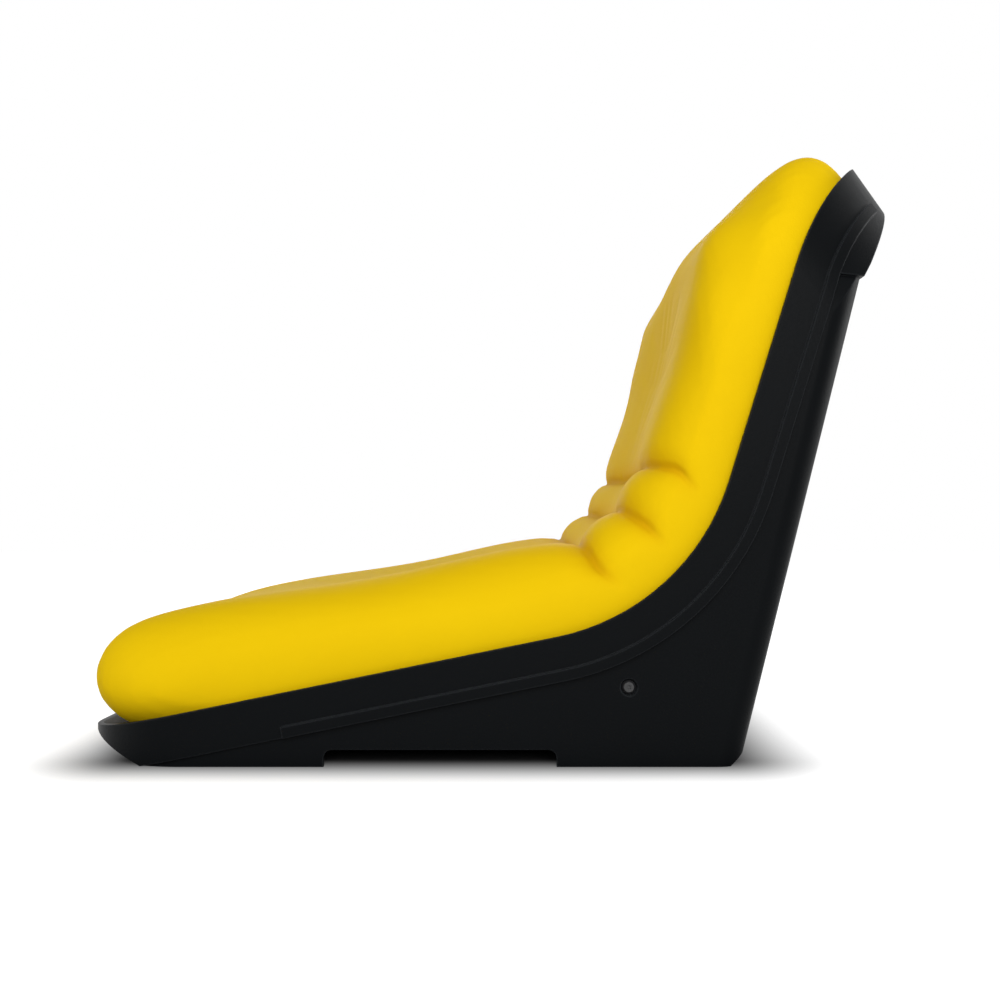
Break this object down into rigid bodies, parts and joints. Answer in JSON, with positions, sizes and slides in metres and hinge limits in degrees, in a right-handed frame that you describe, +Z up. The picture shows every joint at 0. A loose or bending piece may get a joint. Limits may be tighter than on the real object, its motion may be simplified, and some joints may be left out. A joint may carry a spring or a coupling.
{
  "type": "utility vehicle seat",
  "caption": "High-back seat for a utility vehicle or ride-on machine: a black moulded shell on a skirted base, with a yellow padded cushion for seat and back and pleats at the bend.",
  "frame": {"origin": "middle of the mounting threads, on the plane of the base", "axes": "+X to the left of a sitter who faces -Y, +Y to the rear, +Z up"},
  "size_m": [0.495, 0.6044, 0.4594],
  "materials": {
    "shell_plastic": "fine moulded grain, satin",
    "cushion_skin": "smooth coated upholstery with a soft sheen",
    "clip_plastic": "plain moulded",
    "bar_steel": "black coating",
    "plated_steel": "zinc plated",
    "black_steel": "black coating"
  },
  "bodies": {
    "root": {"base_shell": "shell_plastic", "seat_cushion": "cushion_skin", "cushion_clips": "clip_plastic", "rear_bar": "bar_steel", "front_bar": "bar_steel", "mount_nuts": "plated_steel", "side_screws": "black_steel", "side_nuts": "plated_steel", "boss_screws": "plated_steel"}
  },
  "joints": []
}
